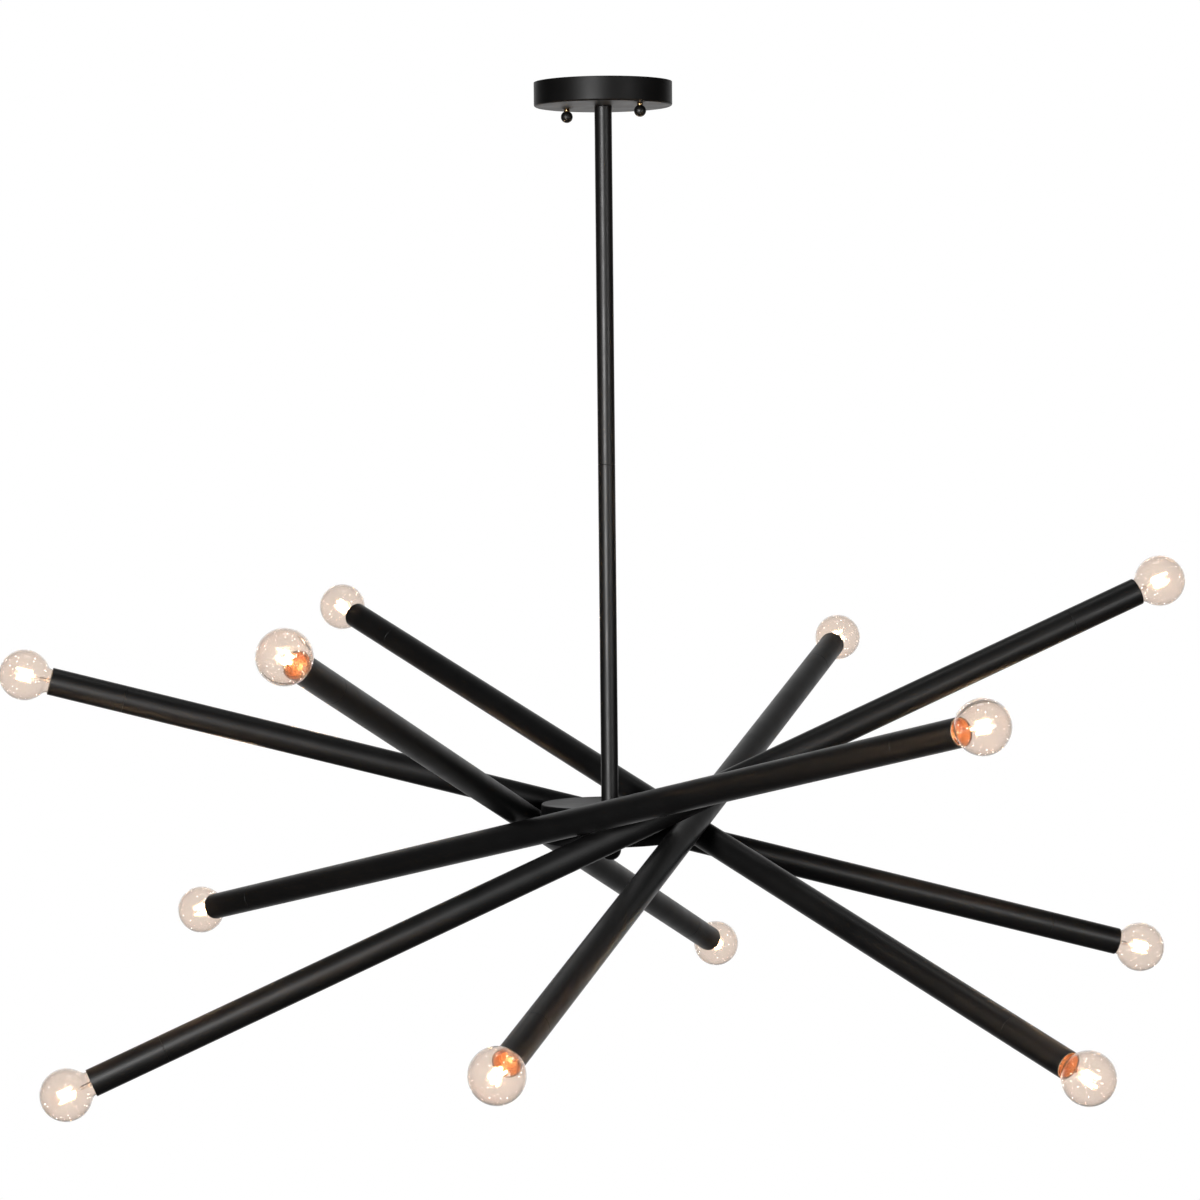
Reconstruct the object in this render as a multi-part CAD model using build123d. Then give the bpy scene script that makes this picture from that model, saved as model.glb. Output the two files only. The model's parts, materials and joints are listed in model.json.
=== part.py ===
from build123d import *
from math import cos, radians, sin, sqrt
import os

# Millimetres, +Z up. The origin is on the ceiling, on the stem's axis, and the crossbar runs along X.

# Ceiling fixing
CROSSBAR_LENGTH = 108.0
CROSSBAR_WIDTH = 18.0
CROSSBAR_THICKNESS = 2.5
BOX_SCREW_SPACING = 69.85
BOX_SLOT_LENGTH = 10.0
BOX_SLOT_WIDTH = 4.6
STUD_SPACING = 88.9
STUD_DIAMETER = 4.0

# Canopy and its ball nuts
CANOPY_DIAMETER = 127.0
CANOPY_HEIGHT = 22.0
CANOPY_WALL = 1.2
CANOPY_EDGE_RADIUS = 2.0
BALL_NUT_DIAMETER = 11.0
BALL_NUT_NECK_DIAMETER = 5.4
BALL_NUT_DROP = 6.8
BALL_NUT_CROWN = 3.0

# Stem
ROD_DIAMETER = 15.9
ROD_WALL = 1.2
UPPER_ROD_LENGTH = 328.0
LOWER_ROD_LENGTH = 312.5
ROD_TAPPED_DEPTH = 18.0
ROD_END_CHAMFER = 0.4
NIPPLE_DIAMETER = 10.0
NIPPLE_BORE = 7.0
NIPPLE_REACH = 14.0
NUT_ACROSS_FLATS = 14.0
NUT_THICKNESS = 3.5

# Hub
DRUM_DIAMETER = 127.0
DRUM_HEIGHT = 35.0
DRUM_WALL = 1.5
DRUM_EDGE_RADIUS = 1.5
COVER_THICKNESS = 2.0
FINIAL_DIAMETER = 20.0
FINIAL_SEAT_CUT = 1.5
FINIAL_CROWN = 8.0
WIRE_HOLE_DIAMETER = 5.0

# Arms, in order round the hub: direction of each pivot, and slope of each tube
ARM_BEARINGS = (22.7, 81.3, 140.2, 200.0, 262.7, 322.1)
ARM_TILTS = (15.2, 19.4, 15.0, 19.3, 12.6, 23.3)
ARM_DROP = 18.5
ARM_LENGTH = 1054.0
TUBE_DIAMETER = 25.4
TUBE_WALL = 1.2
SLEEVE_LENGTH = 70.0
SPIGOT_LENGTH = 10.0
SPIGOT_WALL = 1.0
SEAM_CHAMFER = 0.4
SADDLE_DIAMETER = 17.0
SADDLE_THICKNESS = 2.0
PIVOT_INSIDE_TUBE = 4.0
PIVOT_BEYOND_NUT = 2.5

# Lampholders and bulbs
GLOBE_DIAMETER = 47.0
GLOBE_STANDOUT = 24.0
GLASS_THICKNESS = 0.7
NECK_DIAMETER = 22.0
NECK_LENGTH = 9.5
NECK_END_DIAMETER = 13.4
SHOULDER_DIAMETER = 28.0
CAP_DIAMETER = 11.9
CAP_LENGTH = 23.5
CAP_WALL = 0.5
CONTACT_DIAMETER = 5.0
CONTACT_HEIGHT = 2.0
GLASS_MOUNT_DIAMETER = 5.0
GLASS_MOUNT_LENGTH = 18.0
EXHAUST_DIAMETER = 2.0
LEAD_LENGTH = 4.0
FILAMENT_DIAMETER = 1.0
FILAMENT_RING_DIAMETER = 9.6
FILAMENT_RISE = 13.0
FILAMENT_SWEEP = 300.0
FILAMENT_PEAKS = 5
FILAMENT_BEND = 0.8
HOLDER_LENGTH = 32.0
HOLDER_LEAD_IN = 1.5
HOLDER_RIM_WIDTH = 1.0
HOLDER_GROOVE_WIDTH = 1.0
HOLDER_GROOVE_DEPTH = 1.2

# Clearances: fixed pieces, turning pieces, pieces that pass each other, crossing tubes
SLIP = 0.05
RUNNING = 0.06
SPACE = 0.3
CROSSING_CLEARANCE = 0.6

# How far a cut runs past the face that it opens
OVERCUT = 1.0

TUBE_RADIUS = TUBE_DIAMETER / 2
TUBE_BORE_RADIUS = TUBE_RADIUS - TUBE_WALL
NIPPLE_RADIUS = NIPPLE_DIAMETER / 2
CANOPY_UNDERSIDE = -CANOPY_HEIGHT
ROD_JOINT = CANOPY_UNDERSIDE - UPPER_ROD_LENGTH
DRUM_TOP = ROD_JOINT - LOWER_ROD_LENGTH
DRUM_BOTTOM = DRUM_TOP - DRUM_HEIGHT
ARM_LEVEL = DRUM_TOP - ARM_DROP
ARM_COUNT = len(ARM_BEARINGS)


def arm_normal(k):
    bearing = radians(ARM_BEARINGS[k])
    return Vector(cos(bearing), sin(bearing), 0)


def arm_direction(k):
    bearing, tilt = radians(ARM_BEARINGS[k]), radians(ARM_TILTS[k])
    return Vector(-sin(bearing) * cos(tilt), cos(bearing) * cos(tilt), sin(tilt))


def crossing_distance(k):
    """How far apart arm k and the next one cross, on a ring of radius one."""
    after = (k + 1) % ARM_COUNT
    across = arm_direction(k).cross(arm_direction(after))
    return abs((arm_normal(after) - arm_normal(k)).dot(across)) / across.length


# The tubes lie on the smallest ring where each clears its neighbours and the drum.
CROSSING_RING = (TUBE_DIAMETER + CROSSING_CLEARANCE) / min(crossing_distance(k) for k in range(ARM_COUNT))
ARM_RING_RADIUS = max(CROSSING_RING, DRUM_DIAMETER / 2 + SPACE + SADDLE_THICKNESS + TUBE_RADIUS)


def rod_between(radius, low, high):
    return Pos(0, 0, low) * Cylinder(radius, high - low, align=(Align.CENTER, Align.CENTER, Align.MIN))


def hex_nut(low, hole_radius):
    hexagon = RegularPolygon(NUT_ACROSS_FLATS / 2, 6, major_radius=False)
    nut = Pos(0, 0, low) * extrude(hexagon, NUT_THICKNESS)
    return nut - rod_between(hole_radius, low - OVERCUT, low + NUT_THICKNESS + OVERCUT)


def nipple(low, high):
    bore = rod_between(NIPPLE_BORE / 2, low - OVERCUT, high + OVERCUT)
    return rod_between(NIPPLE_RADIUS, low, high) - bore


def mirrored_pair(shape, offset):
    return [Pos(offset, 0, 0) * shape, Pos(-offset, 0, 0) * shape]


# Ceiling fixing
def ceiling_crossbar():
    bar = extrude(SlotOverall(CROSSBAR_LENGTH, CROSSBAR_WIDTH), -CROSSBAR_THICKNESS)
    slot = extrude(SlotOverall(BOX_SLOT_LENGTH, BOX_SLOT_WIDTH), CROSSBAR_THICKNESS + OVERCUT, both=True)
    tapped_hole = rod_between(STUD_DIAMETER / 2 + SLIP, -CROSSBAR_THICKNESS - OVERCUT, OVERCUT)
    for cut in mirrored_pair(slot, BOX_SCREW_SPACING / 2) + mirrored_pair(tapped_hole, STUD_SPACING / 2):
        bar -= cut
    return bar


BALL_CENTRE = CANOPY_UNDERSIDE - BALL_NUT_DROP
STUD_END = BALL_CENTRE - BALL_NUT_DIAMETER / 2 + BALL_NUT_CROWN


def crossbar_studs():
    return mirrored_pair(rod_between(STUD_DIAMETER / 2, STUD_END, 0), STUD_SPACING / 2)


def canopy_ball_nuts():
    ball = Pos(0, 0, BALL_CENTRE) * Sphere(BALL_NUT_DIAMETER / 2)
    ball += rod_between(BALL_NUT_NECK_DIAMETER / 2, BALL_CENTRE, CANOPY_UNDERSIDE)
    ball -= rod_between(STUD_DIAMETER / 2 + SLIP, STUD_END - SLIP, CANOPY_UNDERSIDE + OVERCUT)
    return mirrored_pair(ball, STUD_SPACING / 2)


def drawn_cup(diameter, top, bottom, wall, edge_radius, open_top):
    """A drawn sheet cup with a rounded edge at its closed end."""
    outside = rod_between(diameter / 2, bottom, top)
    inside = rod_between(diameter / 2 - wall, bottom + wall, top + OVERCUT)
    if not open_top:
        inside = rod_between(diameter / 2 - wall, bottom - OVERCUT, top - wall)
    end = 0 if open_top else -1
    outside = fillet(outside.edges().group_by(Axis.Z)[end], edge_radius)
    if edge_radius > wall + SLIP:
        inside = fillet(inside.edges().group_by(Axis.Z)[end], edge_radius - wall)
    return outside - inside


def canopy():
    cup = drawn_cup(CANOPY_DIAMETER, 0, CANOPY_UNDERSIDE, CANOPY_WALL, CANOPY_EDGE_RADIUS, True)
    below, above = CANOPY_UNDERSIDE - OVERCUT, CANOPY_UNDERSIDE + CANOPY_WALL + OVERCUT
    cup -= rod_between(NIPPLE_RADIUS + SLIP, below, above)
    stud_hole = rod_between(STUD_DIAMETER / 2 + SPACE, below, above)
    for hole in mirrored_pair(stud_hole, STUD_SPACING / 2):
        cup -= hole
    return cup


# Stem
def stem_rod(low, high):
    """A thin tube whose ends are thick enough to be tapped for a nipple."""
    rod = rod_between(ROD_DIAMETER / 2, low, high)
    rod = chamfer(rod.edges().filter_by(GeomType.CIRCLE), ROD_END_CHAMFER)
    rod -= rod_between(NIPPLE_RADIUS + SLIP, low - OVERCUT, high + OVERCUT)
    return rod - rod_between(ROD_DIAMETER / 2 - ROD_WALL, low + ROD_TAPPED_DEPTH, high - ROD_TAPPED_DEPTH)


def stem_nipples():
    return [nipple(level - NIPPLE_REACH, level + NIPPLE_REACH) for level in (CANOPY_UNDERSIDE, ROD_JOINT)]


def stem_lock_nuts():
    lows = (CANOPY_UNDERSIDE + CANOPY_WALL, DRUM_TOP - DRUM_WALL - NUT_THICKNESS)
    return [hex_nut(low, NIPPLE_RADIUS + SLIP) for low in lows]


# Hub
FINIAL_TOP = DRUM_BOTTOM
FINIAL_CENTRE = FINIAL_TOP + FINIAL_SEAT_CUT - FINIAL_DIAMETER / 2
HUB_NIPPLE_END = FINIAL_CENTRE - FINIAL_DIAMETER / 2 + FINIAL_CROWN


def hub_nipple():
    """The long nipple that holds the drum, its cover and the finial; a cross hole lets the wires out."""
    tube = nipple(HUB_NIPPLE_END, DRUM_TOP + NIPPLE_REACH)
    cross_hole = Rot(0, 90, 0) * Cylinder(WIRE_HOLE_DIAMETER / 2, NIPPLE_DIAMETER + 2 * OVERCUT)
    return tube - Pos(0, 0, ARM_LEVEL) * cross_hole


def hub_drum():
    drum = drawn_cup(DRUM_DIAMETER, DRUM_TOP, DRUM_BOTTOM, DRUM_WALL, DRUM_EDGE_RADIUS, False)
    drum -= rod_between(NIPPLE_RADIUS + SLIP, DRUM_TOP - DRUM_WALL - OVERCUT, DRUM_TOP + OVERCUT)
    pivot_hole = Rot(0, 90, 0) * rod_between(NIPPLE_RADIUS + RUNNING, DRUM_DIAMETER / 4, DRUM_DIAMETER)
    for bearing in ARM_BEARINGS:
        drum -= Pos(0, 0, ARM_LEVEL) * Rot(0, 0, bearing) * pivot_hole
    return drum


def hub_cover():
    top = DRUM_BOTTOM + COVER_THICKNESS
    disc = rod_between(DRUM_DIAMETER / 2 - DRUM_WALL - SLIP, DRUM_BOTTOM, top)
    return disc - rod_between(NIPPLE_RADIUS + SLIP, DRUM_BOTTOM - OVERCUT, top + OVERCUT)


def hub_finial():
    ball = Pos(0, 0, FINIAL_CENTRE) * Sphere(FINIAL_DIAMETER / 2)
    ball -= rod_between(FINIAL_DIAMETER, FINIAL_TOP, FINIAL_TOP + FINIAL_DIAMETER)
    return ball - rod_between(NIPPLE_RADIUS + SLIP, HUB_NIPPLE_END - SLIP, FINIAL_TOP + OVERCUT)


# Arms. Each is drawn with its tube along Y and its pivot towards -X, then set round the hub.
ALONG_TUBE = Rot(-90, 0, 0)
TOWARDS_HUB = Rot(0, -90, 0)
OTHER_END = Rot(180, 0, 0)
MIDDLE_HALF = ARM_LENGTH / 2 - SLEEVE_LENGTH
MOUTH = ARM_LENGTH / 2
GLOBE_CENTRE = MOUTH + GLOBE_STANDOUT
DRUM_OUTSIDE = ARM_RING_RADIUS - DRUM_DIAMETER / 2
NUT_CORNER = NUT_ACROSS_FLATS / sqrt(3)
DRUM_INSIDE = ARM_RING_RADIUS - sqrt((DRUM_DIAMETER / 2 - DRUM_WALL) ** 2 - NUT_CORNER ** 2)
PIVOT_NUT = DRUM_INSIDE + SPACE


def arm_place(k):
    spin = Rot(0, 0, ARM_BEARINGS[k])
    return Pos(0, 0, ARM_LEVEL) * spin * Pos(ARM_RING_RADIUS, 0, 0) * Rot(ARM_TILTS[k], 0, 0)


def tube_between(low, high):
    outside = rod_between(TUBE_RADIUS, low, high)
    outside = chamfer(outside.edges().filter_by(GeomType.CIRCLE), SEAM_CHAMFER)
    return outside - rod_between(TUBE_BORE_RADIUS, low - OVERCUT, high + OVERCUT)


def arm_tube():
    tube = ALONG_TUBE * tube_between(-MIDDLE_HALF, MIDDLE_HALF)
    return tube - TOWARDS_HUB * rod_between(NIPPLE_RADIUS + SLIP, 0, TUBE_DIAMETER)


def end_sleeve():
    """The end piece over a lampholder, with a spigot that plugs into the middle tube."""
    spigot_radius = TUBE_BORE_RADIUS - SLIP
    sleeve = tube_between(MIDDLE_HALF, MOUTH)
    sleeve += rod_between(spigot_radius, MIDDLE_HALF - SPIGOT_LENGTH, MIDDLE_HALF + SPIGOT_LENGTH)
    sleeve += rod_between(TUBE_BORE_RADIUS, MIDDLE_HALF + SEAM_CHAMFER, MIDDLE_HALF + SPIGOT_LENGTH)
    bore_low, bore_high = MIDDLE_HALF - SPIGOT_LENGTH - OVERCUT, MIDDLE_HALF + SPIGOT_LENGTH + OVERCUT
    return ALONG_TUBE * (sleeve - rod_between(spigot_radius - SPIGOT_WALL, bore_low, bore_high))


def pivot_saddle():
    collar = TOWARDS_HUB * rod_between(SADDLE_DIAMETER / 2, 0, DRUM_OUTSIDE - SPACE)
    collar -= ALONG_TUBE * Cylinder(TUBE_RADIUS + SLIP, 2 * SADDLE_DIAMETER)
    return collar - TOWARDS_HUB * rod_between(NIPPLE_RADIUS + SLIP, 0, DRUM_OUTSIDE)


def pivot_nipple():
    hub_end = PIVOT_NUT + NUT_THICKNESS + PIVOT_BEYOND_NUT
    return TOWARDS_HUB * nipple(TUBE_BORE_RADIUS - PIVOT_INSIDE_TUBE, hub_end)


def pivot_lock_nut():
    return TOWARDS_HUB * hex_nut(PIVOT_NUT, NIPPLE_RADIUS + SLIP)


# Lampholders and bulbs
NECK_END = MOUTH - NECK_LENGTH
MOUNT_TOP = NECK_END + GLASS_MOUNT_LENGTH
HOLDER_FACE = NECK_END - SPACE
CAP_END = NECK_END - CAP_LENGTH


def lampholder():
    cup = rod_between(TUBE_BORE_RADIUS - SLIP, HOLDER_FACE - HOLDER_LENGTH, HOLDER_FACE)
    bore_radius = CAP_DIAMETER / 2 + RUNNING
    cup -= rod_between(bore_radius, CAP_END - SPACE, HOLDER_FACE + OVERCUT)
    mouth_edge = cup.edges().filter_by(GeomType.CIRCLE).group_by(Axis.Z)[-1].sort_by(SortBy.RADIUS)[0]
    cup = chamfer(mouth_edge, HOLDER_LEAD_IN)
    rim_radius = bore_radius + HOLDER_LEAD_IN + HOLDER_RIM_WIDTH
    low, high = HOLDER_FACE - HOLDER_GROOVE_DEPTH, HOLDER_FACE + OVERCUT
    groove = rod_between(rim_radius + HOLDER_GROOVE_WIDTH, low, high) - rod_between(rim_radius, low, high)
    return ALONG_TUBE * (cup - groove)


def bulb_outline(inset):
    """Half outline of the glass on the XZ plane: globe, shoulder, neck and the taper down to the cap."""
    radius = GLOBE_DIAMETER / 2 - inset
    shoulder = SHOULDER_DIAMETER / 2 - inset
    shoulder_drop = sqrt(radius ** 2 - shoulder ** 2)
    crown = (0, GLOBE_CENTRE + radius)
    belly = (radius, GLOBE_CENTRE)
    shoulder_point = (shoulder, GLOBE_CENTRE - shoulder_drop)
    neck_point = (NECK_DIAMETER / 2 - inset, MOUTH)
    end_point = (NECK_END_DIAMETER / 2 - inset, NECK_END)
    globe = ThreePointArc(crown, belly, shoulder_point)
    flare = Spline(shoulder_point, neck_point, tangents=(globe % 1, (0, -1)))
    taper = Line(neck_point, end_point)
    base = Line(end_point, (0, NECK_END))
    axis = Line((0, NECK_END), crown)
    return Plane.XZ * make_face([globe, flare, taper, base, axis])


def bulb_glass():
    """The blown globe, closed at its neck by a glass mount that rises inside, with an exhaust hole."""
    glass = revolve(bulb_outline(0), Axis.Z) - revolve(bulb_outline(GLASS_THICKNESS), Axis.Z)
    glass += rod_between((NECK_END_DIAMETER - GLASS_THICKNESS) / 2, NECK_END, NECK_END + GLASS_THICKNESS)
    glass += rod_between(GLASS_MOUNT_DIAMETER / 2, NECK_END, MOUNT_TOP)
    return glass - rod_between(EXHAUST_DIAMETER / 2, NECK_END - OVERCUT, MOUNT_TOP + OVERCUT)


def filament():
    """One unbroken wire: up a lead, up and down round a ring at the globe's centre, down the other lead."""

    def ring_point(radius, step, height):
        turn = radians(FILAMENT_SWEEP) * step / last
        return Vector(radius * cos(turn), radius * sin(turn), height)

    last = 2 * FILAMENT_PEAKS
    lead_radius = (GLASS_MOUNT_DIAMETER + EXHAUST_DIAMETER) / 4
    leads = [[ring_point(lead_radius, step, height) for height in (MOUNT_TOP, MOUNT_TOP + LEAD_LENGTH)]
             for step in (0, last)]
    heights = (GLOBE_CENTRE - FILAMENT_RISE / 2, GLOBE_CENTRE + FILAMENT_RISE / 2)
    ring = [ring_point(FILAMENT_RING_DIAMETER / 2, step, heights[step % 2]) for step in range(last + 1)]
    path = FilletPolyline(*leads[0], *ring, *reversed(leads[1]), radius=FILAMENT_BEND)
    return sweep(Plane(leads[0][0]) * Circle(FILAMENT_DIAMETER / 2), path)


def bulb():
    cap = rod_between(CAP_DIAMETER / 2, CAP_END + CONTACT_HEIGHT, NECK_END - SLIP)
    cap += rod_between(CONTACT_DIAMETER / 2, CAP_END, CAP_END + CONTACT_HEIGHT)
    cap -= rod_between(CAP_DIAMETER / 2 - CAP_WALL, CAP_END + CONTACT_HEIGHT + CAP_WALL, NECK_END)
    return [ALONG_TUBE * solid for solid in (bulb_glass(), cap, filament())]


def pieces():
    """Every node's name, with its list of solids."""
    yield "ceiling_crossbar", [ceiling_crossbar()]
    yield "crossbar_studs", crossbar_studs()
    yield "canopy", [canopy()]
    yield "canopy_ball_nuts", canopy_ball_nuts()
    yield "stem_nipples", stem_nipples()
    yield "stem_lock_nuts", stem_lock_nuts()
    yield "upper_rod", [stem_rod(ROD_JOINT, CANOPY_UNDERSIDE)]
    yield "lower_rod", [stem_rod(DRUM_TOP, ROD_JOINT)]
    yield "hub_nipple", [hub_nipple()]
    yield "hub_drum", [hub_drum()]
    yield "hub_cover", [hub_cover()]
    yield "hub_finial", [hub_finial()]
    sleeve, holder, lamp = end_sleeve(), lampholder(), bulb()
    arm_pieces = {
        "tube": [arm_tube()],
        "end_sleeves": [sleeve, OTHER_END * sleeve],
        "lampholders": [holder, OTHER_END * holder],
        "pivot_saddle": [pivot_saddle()],
        "pivot_nipple": [pivot_nipple()],
        "lock_nut": [pivot_lock_nut()],
        "upper_bulb": lamp,
        "lower_bulb": [OTHER_END * solid for solid in lamp],
    }
    for k in range(ARM_COUNT):
        for name, solids in arm_pieces.items():
            yield f"arm_{k + 1}_{name}", [arm_place(k) * solid for solid in solids]


os.makedirs("parts", exist_ok=True)
for node, solids in pieces():
    shape = solids[0] if len(solids) == 1 else Compound(children=solids)
    export_step(shape, f"parts/{node}.step")
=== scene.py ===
import json
from math import atan2, cos, hypot, pi, radians, sin, sqrt, tan, tau

import bmesh
import bpy
from mathutils import Matrix, Vector


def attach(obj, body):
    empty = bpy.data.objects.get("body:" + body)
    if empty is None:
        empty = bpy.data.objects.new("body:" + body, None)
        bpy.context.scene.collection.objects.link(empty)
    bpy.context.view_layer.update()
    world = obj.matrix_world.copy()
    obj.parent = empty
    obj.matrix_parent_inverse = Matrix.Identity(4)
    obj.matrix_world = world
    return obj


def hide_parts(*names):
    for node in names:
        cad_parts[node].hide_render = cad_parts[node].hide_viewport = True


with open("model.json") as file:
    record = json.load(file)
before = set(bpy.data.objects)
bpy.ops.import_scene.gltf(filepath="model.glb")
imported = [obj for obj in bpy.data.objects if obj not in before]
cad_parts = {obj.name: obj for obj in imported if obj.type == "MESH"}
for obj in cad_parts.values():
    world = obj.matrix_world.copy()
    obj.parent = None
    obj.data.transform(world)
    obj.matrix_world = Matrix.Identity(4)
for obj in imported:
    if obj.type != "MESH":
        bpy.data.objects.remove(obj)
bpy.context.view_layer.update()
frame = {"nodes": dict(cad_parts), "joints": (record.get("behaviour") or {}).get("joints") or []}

# Metres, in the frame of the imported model: the ceiling is at z = 0 and the stem hangs along -Z.

# Sheet and tube sizes that the finished pieces show
ROD_WALL = 0.0012
ROD_EDGE = 0.0004
TUBE_WALL = 0.0012
TUBE_EDGE = 0.0005
MOUTH_EDGE = 0.0004
SPIGOT_GAP = 0.00005
FINIAL_SEAT = 0.0062

# Ball nuts and studs
BALL_NUT_RADIUS = 0.0055
BALL_NUT_DROP = 0.0068
NECK_RADIUS = 0.0027
STUD_RADIUS = 0.0020
STUD_SPACING = 0.0889
STUD_PITCH = 0.0008
NECK_EDGE = 0.0003

# Bulb glass. These and the next sizes are measured from the middle of a globe, outwards along the bulb
GLOBE_RADIUS = 0.0235
GLASS_WALL = 0.0007
SHOULDER_RADIUS = 0.0140
NECK_GLASS_RADIUS = 0.0110
NECK_TOP = -0.0240
NECK_END_RADIUS = 0.0067
NECK_END = -0.0335
SEED_RADIUS = 0.00033
SEEDS_PER_AREA = 9000.0
SEEDED_ANGLE = radians(140)

# Bulb cap
CAP_RADIUS = 0.00595
CAP_WALL = 0.0005
CAP_RIM = NECK_END - 0.0004
CAP_FLOOR = NECK_END - 0.0035
CAP_END = -0.0570
CAP_TAPER_DEPTH = 0.0012
CAP_TAPER_HEIGHT = 0.0030
CAP_PITCH = 0.00254
CAP_THREAD_TURNS = 5
CAP_THREAD_DEPTH = 0.0005
CAP_THREAD_START = 0.0040
CONTACT_RADIUS = 0.0025
CONTACT_HEIGHT = 0.0020

# Filament and the mount that carries it
FILAMENT_RADIUS = 0.0048
FILAMENT_RISE = 0.0130
FILAMENT_SPAN = 0.0170
FILAMENT_BEND = 0.0005
FILAMENT_WIRE = 0.0010
FILAMENT_PEAKS = 5
FILAMENT_SWEEP = radians(300.0)
STEM_FOOT = NECK_END - 0.0034
STEM_FOOT_RADIUS = 0.0046
STEM_WAIST = NECK_END + 0.0060
STEM_WAIST_RADIUS = 0.0022
STEM_TOP = -0.0140
STEM_TOP_RADIUS = 0.0018
LEAD_RADIUS = 0.0002
LEAD_FOOT = -0.0145
LEAD_SPREAD = 0.0008
LEAD_STRAIGHT = 0.004
SUPPORT_RADIUS = 0.00012
SUPPORT_FOOT = -0.0135

# Lampholder: its moulding, the ridge in its mouth, and the screw shell with a groove round its flange
HOLDER_FACE = -0.0338
HOLDER_BACK = -0.0658
HOLDER_BORE = 0.00601
HOLDER_FLOOR = CAP_END - 0.0004
LINER_WALL = 0.00025
LINER_END = -0.0250
RECESS = HOLDER_FACE - 0.0013
RIDGE_FOOT_INSIDE = 0.0088
RIDGE_FOOT_OUTSIDE = 0.0105
RIDGE_TOP_INSIDE = 0.0092
RIDGE_TOP_OUTSIDE = 0.0102
SHELL_WALL = 0.0006
SHELL_BACK = CAP_END + 0.004
FLANGE_RADIUS = 0.0085
GROOVE_FLOOR = HOLDER_FACE - 0.0007
GROOVE_FLOOR_INSIDE = 0.0071
GROOVE_FLOOR_OUTSIDE = 0.0075
GROOVE_MOUTH_INSIDE = 0.0069
GROOVE_MOUTH_OUTSIDE = 0.0077

# The photograph's view: where the camera stands from the stem and the ceiling, and how it is turned
VIEW_TURN = radians(41.0)
CAMERA_RIGHT = -0.0073
CAMERA_BACK = 3.4396
CAMERA_HEIGHT = -0.3303
CAMERA_PITCH = radians(2.408)
CAMERA_ROLL = radians(-0.571)
CAMERA_LENS = 112.00
SENSOR_WIDTH = 36.0

# Studio
FLOOR_LEVEL = -2.40
FLOOR_RADIUS = 3.6
FLOOR_FADE_START = 0.35 * FLOOR_RADIUS
FLOOR_FADE_END = 0.95 * FLOOR_RADIUS
FLOOR_WHITE_SHARE = 0.35
ROOM_LEVEL = 0.14

# Mesh and node tree settings
SHARP_ANGLE = radians(40)
ON_AXIS = 1e-7
FLOAT = "NodeSocketFloat"
WHOLE = "NodeSocketInt"

ARMS = [f"arm_{k}" for k in range(1, 7)]
ENDS = ("upper", "lower")
JOINTS = {joint["name"]: joint for joint in frame["joints"]}
NODES = frame["nodes"]
HUB_LEVEL = JOINTS["arm_1_tilt"]["pos_m"][2]


# Places in the frame

def frame_at(z_axis, x_axis, origin):
    """A place whose Z runs along z_axis and whose X is as near x_axis as it can be."""
    z = Vector(z_axis).normalized()
    x = (Vector(x_axis) - z * Vector(x_axis).dot(z)).normalized()
    place = Matrix((x, z.cross(x), z)).transposed().to_4x4()
    place.translation = Vector(origin)
    return place


def arm_place(arm):
    """An arm's pivot, with Z along its tube and X out from the hub."""
    tilt = JOINTS[f"{arm}_tilt"]
    return frame_at(JOINTS[f"{arm}_upper_bulb_unscrew"]["axis"], tilt["axis"], tilt["pos_m"])


def bulb_place(arm, end):
    """The middle of a globe, with Z outwards along the bulb."""
    screw = JOINTS[f"{arm}_{end}_bulb_unscrew"]
    return frame_at(screw["axis"], JOINTS[f"{arm}_tilt"]["axis"], screw["pos_m"])


def reach(node, place=Matrix.Identity(4)):
    """A node's outer radius about a place's Z axis, with its lowest and highest points along it."""
    inverse = place.inverted()
    points = [inverse @ vertex.co for vertex in NODES[node].data.vertices]
    heights = [point.z for point in points]
    return max(hypot(point.x, point.y) for point in points), min(heights), max(heights)


# Shader helpers

def link(tree, source, output, target, entry):
    """Joins a node's named output to another node's named input."""
    tree.links.new(source.outputs[output], target.inputs[entry])


def finish_base(name, color, roughness, metallic=0.0):
    """A new material, with its node tree and its main shader."""
    material = bpy.data.materials.new(name)
    material.use_nodes = True
    tree = material.node_tree
    shader = tree.nodes["Principled BSDF"]
    shader.inputs["Base Color"].default_value = (*color, 1.0)
    shader.inputs["Roughness"].default_value = roughness
    shader.inputs["Metallic"].default_value = metallic
    return material, tree, shader


def noise(tree, scale, detail=3.0, stretch=(1.0, 1.0, 1.0)):
    """Noise on the piece's own coordinates; scale counts features per metre."""
    where = tree.nodes.new("ShaderNodeTexCoord")
    turn = tree.nodes.new("ShaderNodeMapping")
    turn.inputs["Scale"].default_value = stretch
    grain = tree.nodes.new("ShaderNodeTexNoise")
    grain.inputs["Scale"].default_value = scale
    grain.inputs["Detail"].default_value = detail
    link(tree, where, "Object", turn, "Vector")
    link(tree, turn, "Vector", grain, "Vector")
    return grain


def vary(tree, shader, entry, source, low, high, stops=(0.3, 0.7)):
    """Lets a noise carry a shader's colour or grey value from low to high, between two stops."""
    mixer = tree.nodes.new("ShaderNodeValToRGB")
    for mark, position, tone in zip(mixer.color_ramp.elements, stops, (low, high)):
        mark.position = position
        mark.color = (*tone, 1.0) if isinstance(tone, tuple) else (tone, tone, tone, 1.0)
    link(tree, source, "Fac", mixer, "Fac")
    link(tree, mixer, "Color", shader, entry)


def bump(tree, shader, source, strength, depth):
    """A fine relief, from a noise's values."""
    relief = tree.nodes.new("ShaderNodeBump")
    relief.inputs["Strength"].default_value = strength
    relief.inputs["Distance"].default_value = depth
    link(tree, source, "Fac", relief, "Height")
    link(tree, relief, "Normal", shader, "Normal")


# Finishes

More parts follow.
